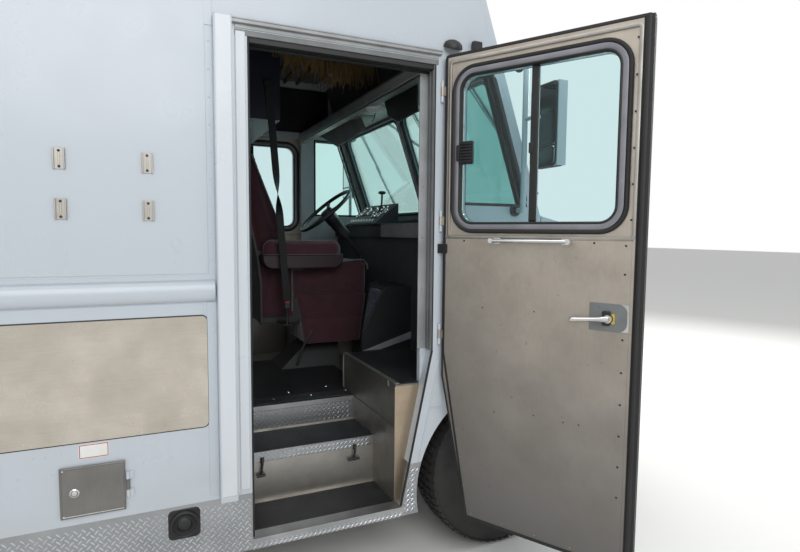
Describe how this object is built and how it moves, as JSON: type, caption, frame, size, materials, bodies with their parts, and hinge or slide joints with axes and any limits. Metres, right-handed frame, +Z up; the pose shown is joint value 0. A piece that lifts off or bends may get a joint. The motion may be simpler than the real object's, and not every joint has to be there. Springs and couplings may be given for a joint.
{
  "type": "walk-in food truck",
  "caption": "White walk-in food truck with hinged cab doors and steps, a short nose that tips, an awning serving hatch with a drop shelf, and steered front wheels.",
  "frame": {"origin": "on the ground under the middle of the whole truck with its kerb-side cab door open", "axes": "+X forwards along the truck, +Y to its left, +Z up"},
  "size_m": [7.51, 3.513, 3.15],
  "materials": {
    "white_paint": "gloss",
    "bare_aluminium": "brushed",
    "tread_plate": "raised pattern",
    "stainless": "brushed",
    "chassis_paint": "semi gloss",
    "cast_parts": "raw",
    "rubber_seal": "matt",
    "tyre_rubber": "matt",
    "wheel_paint": "gloss",
    "window_glass": "clear",
    "chrome_parts": "polished",
    "dark_plastic": "grained",
    "grey_fascia": "satin",
    "lamp_plastic": "clear",
    "maroon_cloth": "woven",
    "belt_webbing": "woven",
    "palm_straw": "dry straw",
    "navy_paint": "satin"
  },
  "bodies": {
    "truck": {"right_wall": "white_paint", "left_wall": "white_paint", "cab_side_right": "white_paint", "cab_side_left": "white_paint", "front_upper": "white_paint", "cab_glass": "window_glass", "roof": "white_paint", "rear_wall": "white_paint", "floor": "bare_aluminium", "step_wells": "bare_aluminium", "wheelhouses": "bare_aluminium", "firewall": "grey_fascia", "nose": "white_paint", "grille": "dark_plastic", "lamps": "lamp_plastic", "bumpers": "chassis_paint", "skirts": "tread_plate", "side_trim": "stainless", "chassis_frame": "chassis_paint", "front_axle": "cast_parts", "driveline": "cast_parts", "leaf_springs": "cast_parts", "engine_block": "cast_parts", "fuel_tank": "bare_aluminium", "exhaust": "stainless", "dashboard": "grey_fascia", "engine_cover": "dark_plastic", "seat_base": "dark_plastic", "seat_pads": "maroon_cloth", "seat_belt": "belt_webbing", "cab_fittings": "bare_aluminium", "thatch_valance": "palm_straw", "overhead_locker": "navy_paint", "mirrors": "white_paint", "kitchen_units": "stainless"},
    "knuckle_left": {"knuckle_left": "cast_parts"},
    "knuckle_right": {"knuckle_right": "cast_parts"},
    "tie_rod": {"tie_rod": "cast_parts"},
    "front_wheel_left": {"front_tyre_left": "tyre_rubber", "front_rim_left": "wheel_paint"},
    "front_wheel_right": {"front_tyre_right": "tyre_rubber", "front_rim_right": "wheel_paint"},
    "rear_wheels_left": {"rear_tyres_left": "tyre_rubber", "rear_rims_left": "wheel_paint"},
    "rear_wheels_right": {"rear_tyres_right": "tyre_rubber", "rear_rims_right": "wheel_paint"},
    "entry_door": {"entry_door": "bare_aluminium", "entry_door_glass": "window_glass", "entry_door_trim": "rubber_seal", "entry_door_hardware": "chrome_parts"},
    "driver_door": {"driver_door": "bare_aluminium", "driver_door_glass": "window_glass"},
    "rear_door": {"rear_door": "white_paint", "rear_door_glass": "window_glass"},
    "serving_hatch": {"serving_hatch": "bare_aluminium"},
    "serving_shelf": {"serving_shelf": "stainless"},
    "fuel_door": {"fuel_door": "stainless"},
    "hood": {"hood": "white_paint"},
    "steering_wheel": {"steering_wheel": "dark_plastic"},
    "armrest": {"armrest": "maroon_cloth"}
  },
  "joints": [
    {"name": "steer_left", "type": "hinge", "parent": "truck", "child": "knuckle_left", "pos_m": [2.805, 1.1635, 0.42], "axis": [0, 0, 1], "range_deg": [-35, 35]},
    {"name": "steer_right", "type": "hinge", "parent": "truck", "child": "knuckle_right", "pos_m": [2.805, -0.6365, 0.42], "axis": [0, 0, 1], "range_deg": [-35, 35]},
    {"name": "tie_rod_pivot", "type": "hinge", "parent": "knuckle_left", "child": "tie_rod", "pos_m": [2.64, 1.1635, 0.32], "axis": [0, 0, 1], "range_deg": [-35, 35]},
    {"name": "steering_wheel_turn", "type": "hinge", "parent": "truck", "child": "steering_wheel", "pos_m": [2.335, 0.7135, 1.799], "axis": [-0.6561, 0, 0.7547], "range_deg": [-640, 640]},
    {"name": "front_spin_left", "type": "hinge", "parent": "knuckle_left", "child": "front_wheel_left", "pos_m": [2.805, 1.3235, 0.42], "axis": [0, 1, 0], "continuous": true},
    {"name": "front_spin_right", "type": "hinge", "parent": "knuckle_right", "child": "front_wheel_right", "pos_m": [2.805, -0.7965, 0.42], "axis": [0, 1, 0], "continuous": true},
    {"name": "rear_spin_left", "type": "hinge", "parent": "truck", "child": "rear_wheels_left", "pos_m": [-1.715, 1.1435, 0.42], "axis": [0, 1, 0], "continuous": true},
    {"name": "rear_spin_right", "type": "hinge", "parent": "truck", "child": "rear_wheels_right", "pos_m": [-1.715, -0.6165, 0.42], "axis": [0, 1, 0], "continuous": true},
    {"name": "entry_door_hinge", "type": "hinge", "parent": "truck", "child": "entry_door", "pos_m": [2.392, -0.9445, 1.3], "axis": [0, 0, 1], "range_deg": [-118.9, 0]},
    {"name": "driver_door_hinge", "type": "hinge", "parent": "truck", "child": "driver_door", "pos_m": [2.392, 1.4715, 1.3], "axis": [0, 0, 1], "range_deg": [-118.9, 0]},
    {"name": "rear_door_hinge", "type": "hinge", "parent": "truck", "child": "rear_door", "pos_m": [-3.623, 0.6955, 1.5], "axis": [0, 0, 1], "range_deg": [-110, 0]},
    {"name": "serving_hatch_hinge", "type": "hinge", "parent": "truck", "child": "serving_hatch", "pos_m": [-0.845, -0.9485, 2.48], "axis": [1, 0, 0], "range_deg": [-90, 0]},
    {"name": "serving_shelf_hinge", "type": "hinge", "parent": "truck", "child": "serving_shelf", "pos_m": [-0.845, -0.9725, 1.5], "axis": [1, 0, 0], "range_deg": [-90, 0]},
    {"name": "fuel_door_hinge", "type": "hinge", "parent": "truck", "child": "fuel_door", "pos_m": [1.0325, -0.9435, 0.665], "axis": [0, 0, 1], "range_deg": [0, 110]},
    {"name": "hood_hinge", "type": "hinge", "parent": "truck", "child": "hood", "pos_m": [3.663, 0.2635, 1.35], "axis": [0, 1, 0], "range_deg": [0, 60]},
    {"name": "armrest_fold", "type": "hinge", "parent": "truck", "child": "armrest", "pos_m": [2.005, 0.4235, 1.5], "axis": [0, -1, 0], "range_deg": [0, 75]}
  ],
  "couplings": [
    {"joint": "steer_right", "follows": "steer_left", "ratio": 1},
    {"joint": "tie_rod_pivot", "follows": "steer_left", "ratio": -1},
    {"joint": "steering_wheel_turn", "follows": "steer_left", "ratio": 18}
  ]
}
